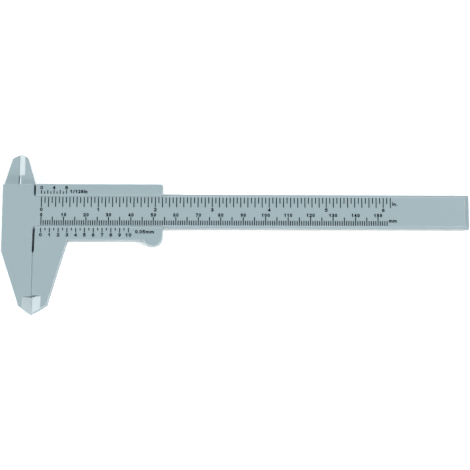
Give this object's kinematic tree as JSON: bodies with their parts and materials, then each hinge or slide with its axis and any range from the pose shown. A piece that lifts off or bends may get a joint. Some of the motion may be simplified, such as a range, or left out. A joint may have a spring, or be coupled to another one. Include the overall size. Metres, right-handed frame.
{
  "type": "vernier caliper",
  "caption": "Moulded plastic vernier caliper with outside jaws, inside jaws and a sliding jaw that runs along a printed metric and inch beam.",
  "frame": {"origin": "on the back face that the caliper lies on, at the outside measuring face, level with the beam's centre line", "axes": "+X along the beam towards its free end, +Y towards the inside jaws, +Z out of the printed face"},
  "size_m": [0.2082, 0.0728, 0.0055],
  "materials": {
    "plastic": "satin moulded blue-grey plastic",
    "ink": "matt near-black printed ink"
  },
  "bodies": {
    "beam": {"main_beam": "plastic", "beam_mm_lines": "ink", "beam_mm_numerals": "ink", "beam_mm_unit_mark": "ink", "beam_inch_lines": "ink", "beam_inch_numerals": "ink", "beam_inch_unit_mark": "ink"},
    "slider": {"slider": "plastic", "vernier_mm_lines": "ink", "vernier_mm_numerals": "ink", "vernier_mm_resolution_mark": "ink", "vernier_inch_lines": "ink", "vernier_inch_numerals": "ink", "vernier_inch_resolution_mark": "ink"}
  },
  "joints": [
    {"name": "slider_slide", "type": "slide", "parent": "beam", "child": "slider", "axis": [1, 0, 0], "range_m": [0, 0.15]}
  ]
}
